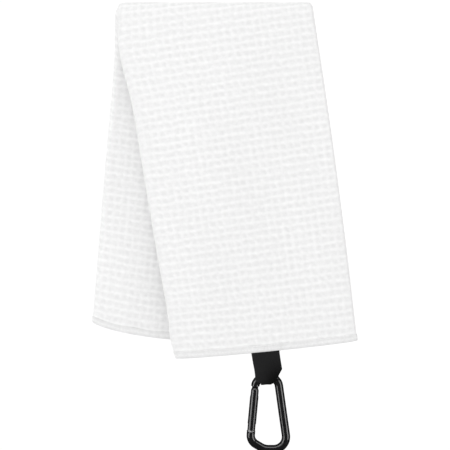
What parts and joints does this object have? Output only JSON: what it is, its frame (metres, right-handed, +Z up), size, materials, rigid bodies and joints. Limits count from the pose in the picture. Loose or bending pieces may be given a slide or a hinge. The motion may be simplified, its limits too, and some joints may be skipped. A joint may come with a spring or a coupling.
{
  "type": "golf towel",
  "caption": "White waffle-weave golf towel, folded lengthwise and hung over a rail, with a black webbing loop sewn into its hem and a black key carabiner.",
  "frame": {"origin": "underside of the fold, where the middle of the cloth rests on the rail", "axes": "+Z up, +X to the right as the front leaf is seen, the front leaf and the loop facing -Y"},
  "size_m": [0.2283, 0.0313, 0.3853],
  "materials": {
    "waffle_cloth": "matte",
    "sewing_thread": "matte",
    "black_webbing": "satin",
    "black_anodised": "gloss",
    "bright_steel": "satin"
  },
  "bodies": {
    "rail_fold": {"fold_panel": "waffle_cloth", "fold_left_flap": "waffle_cloth", "fold_right_flap": "waffle_cloth"},
    "front_leaf": {"front_panel": "waffle_cloth", "front_left_flap": "waffle_cloth", "front_right_flap": "waffle_cloth", "front_hem": "waffle_cloth", "front_left_flap_hem": "waffle_cloth", "front_right_flap_hem": "waffle_cloth", "front_hem_thread": "sewing_thread", "loop_sewn_ends": "black_webbing", "loop_stitching": "sewing_thread"},
    "back_leaf": {"back_panel": "waffle_cloth", "back_left_flap": "waffle_cloth", "back_right_flap": "waffle_cloth", "back_hem": "waffle_cloth", "back_left_flap_hem": "waffle_cloth", "back_right_flap_hem": "waffle_cloth", "back_hem_thread": "sewing_thread"},
    "loop": {"hang_loop": "black_webbing"},
    "carabiner": {"carabiner_body": "black_anodised", "gate_hinge_pin": "bright_steel"},
    "gate": {"carabiner_gate": "black_anodised", "gate_latch_pin": "bright_steel", "gate_spring": "bright_steel"},
    "plunger": {"gate_plunger": "bright_steel"}
  },
  "joints": [
    {"name": "front_leaf_lift", "type": "hinge", "parent": "rail_fold", "child": "front_leaf", "pos_m": [0.00065, -0.00856, 0.00306], "axis": [-1, 0, 0], "range_deg": [0, 90]},
    {"name": "back_leaf_lift", "type": "hinge", "parent": "rail_fold", "child": "back_leaf", "pos_m": [-0.00045, 0.00856, 0.00306], "axis": [1, 0, 0], "range_deg": [0, 90]},
    {"name": "loop_swing", "type": "hinge", "parent": "front_leaf", "child": "loop", "pos_m": [0.04292, -0.012, -0.2928], "axis": [-0.9951, 0, -0.0993], "range_deg": [-60, 80]},
    {"name": "carabiner_swing", "type": "hinge", "parent": "loop", "child": "carabiner", "pos_m": [0.04441, -0.012, -0.31475], "axis": [-1, 0, 0], "range_deg": [-60, 60]},
    {"name": "gate_open", "type": "hinge", "parent": "carabiner", "child": "gate", "pos_m": [0.03396, -0.012, -0.32545], "axis": [0, -1, 0], "range_deg": [0, 25], "stiffness_Nm_per_rad": 0.03, "springref_deg": -114.59},
    {"name": "plunger_slide", "type": "slide", "parent": "gate", "child": "plunger", "axis": [-0.0924, 0, -0.9957], "range_m": [0, 0.0009], "deforming": ["gate_spring"]}
  ],
  "couplings": [
    {"joint": "plunger_slide", "follows": "gate_open", "m_per_rad": 0.0018}
  ]
}
